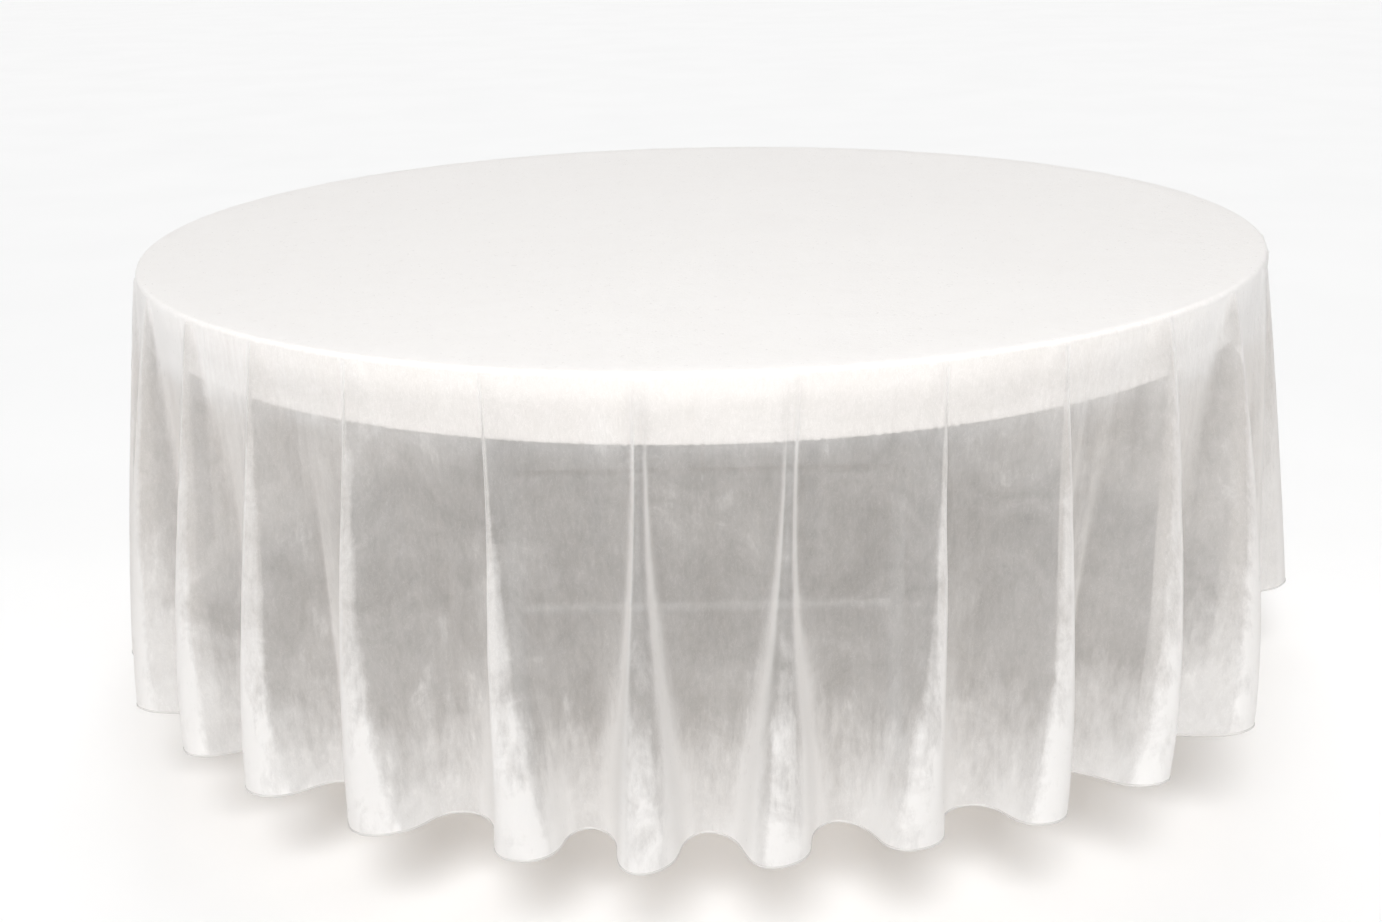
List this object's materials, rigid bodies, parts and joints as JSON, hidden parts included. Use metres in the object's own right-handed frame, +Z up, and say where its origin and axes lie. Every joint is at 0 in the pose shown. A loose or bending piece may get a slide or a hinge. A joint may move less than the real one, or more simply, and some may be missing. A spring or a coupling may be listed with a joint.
{
  "type": "dressed round banquet table",
  "caption": "Round folding banquet table dressed with a fitted white under-cover and a long round sheer organza overlay that falls in soft folds.",
  "frame": {"origin": "on the floor, under the centre of the round top", "axes": "+Z up; the two leg frames hinge on axes along X, the front one at -Y and the rear one at +Y"},
  "size_m": [2.0548, 2.0548, 0.7651],
  "materials": {
    "plywood": "bare birch plywood",
    "hardwood": "planed, sealed",
    "edge_vinyl": "satin vinyl",
    "painted_steel": "dark grey powder coat",
    "zinc_steel": "zinc plated",
    "foot_plastic": "moulded, matte",
    "cover_cloth": "opaque white polyester knit",
    "elastic": "braided white elastic",
    "organza": "sheer white crystal organza with a soft shimmer"
  },
  "bodies": {
    "table": {"anchor_pin_front": "zinc_steel", "anchor_pin_rear": "zinc_steel", "anchor_screw_front_inner": "zinc_steel", "anchor_screw_front_outer": "zinc_steel", "anchor_screw_rear_inner": "zinc_steel", "anchor_screw_rear_outer": "zinc_steel", "brace_anchor_front": "zinc_steel", "brace_anchor_rear": "zinc_steel", "cover_elastic": "elastic", "edge_band": "edge_vinyl", "hinge_block_left": "hardwood", "hinge_block_right": "hardwood", "runner_left": "hardwood", "runner_right": "hardwood", "strap_front_left": "zinc_steel", "strap_front_right": "zinc_steel", "strap_rear_left": "zinc_steel", "strap_rear_right": "zinc_steel", "strap_screw_front_left_inner": "zinc_steel", "strap_screw_front_left_outer": "zinc_steel", "strap_screw_front_right_inner": "zinc_steel", "strap_screw_front_right_outer": "zinc_steel", "strap_screw_rear_left_inner": "zinc_steel", "strap_screw_rear_left_outer": "zinc_steel", "strap_screw_rear_right_inner": "zinc_steel", "strap_screw_rear_right_outer": "zinc_steel", "table_top": "plywood", "under_cover": "cover_cloth"},
    "leg_frame_front": {"brace_bar_front": "painted_steel", "end_plug_front_left": "foot_plastic", "end_plug_front_right": "foot_plastic", "foot_front_left": "foot_plastic", "foot_front_right": "foot_plastic", "leg_front_left": "painted_steel", "leg_front_right": "painted_steel", "pivot_tube_front": "painted_steel", "stretcher_front": "painted_steel"},
    "leg_frame_rear": {"brace_bar_rear": "painted_steel", "end_plug_rear_left": "foot_plastic", "end_plug_rear_right": "foot_plastic", "foot_rear_left": "foot_plastic", "foot_rear_right": "foot_plastic", "leg_rear_left": "painted_steel", "leg_rear_right": "painted_steel", "pivot_tube_rear": "painted_steel", "stretcher_rear": "painted_steel"},
    "lower_link_front": {"knuckle_rivet_front_lower": "zinc_steel", "lower_brace_front": "zinc_steel"},
    "upper_link_front": {"knuckle_rivet_front_upper": "zinc_steel", "upper_brace_front": "zinc_steel"},
    "lower_link_rear": {"knuckle_rivet_rear_lower": "zinc_steel", "lower_brace_rear": "zinc_steel"},
    "upper_link_rear": {"knuckle_rivet_rear_upper": "zinc_steel", "upper_brace_rear": "zinc_steel"},
    "overlay": {"organza_overlay": "organza"}
  },
  "joints": [
    {"name": "fold_front_legs", "type": "hinge", "parent": "table", "child": "leg_frame_front", "pos_m": [0, -0.42, 0.7079], "axis": [1, 0, 0], "range_deg": [0, 94.5]},
    {"name": "upper_link_front_pivot", "type": "hinge", "parent": "table", "child": "upper_link_front", "pos_m": [0, -0.22, 0.7079], "axis": [-1, 0, 0], "range_deg": [0, 47.6]},
    {"name": "lower_link_front_pivot", "type": "hinge", "parent": "leg_frame_front", "child": "lower_link_front", "pos_m": [0, -0.43883, 0.46864], "axis": [1, 0, 0], "range_deg": [0, 38]},
    {"name": "fold_rear_legs", "type": "hinge", "parent": "table", "child": "leg_frame_rear", "pos_m": [0, 0.42, 0.6739], "axis": [-1, 0, 0], "range_deg": [0, 94.5]},
    {"name": "upper_link_rear_pivot", "type": "hinge", "parent": "table", "child": "upper_link_rear", "pos_m": [0, 0.22, 0.6739], "axis": [1, 0, 0], "range_deg": [0, 47.6]},
    {"name": "lower_link_rear_pivot", "type": "hinge", "parent": "leg_frame_rear", "child": "lower_link_rear", "pos_m": [0, 0.43883, 0.43464], "axis": [-1, 0, 0], "range_deg": [0, 38]},
    {"name": "overlay_lift", "type": "slide", "parent": "table", "child": "overlay", "axis": [0, 0, 1], "range_m": [0, 0.9]}
  ],
  "couplings": [
    {"joint": "upper_link_front_pivot", "follows": "fold_front_legs", "ratio": 0.50321},
    {"joint": "lower_link_front_pivot", "follows": "fold_front_legs", "ratio": 0.40155},
    {"joint": "upper_link_rear_pivot", "follows": "fold_rear_legs", "ratio": 0.50321},
    {"joint": "lower_link_rear_pivot", "follows": "fold_rear_legs", "ratio": 0.40155}
  ]
}
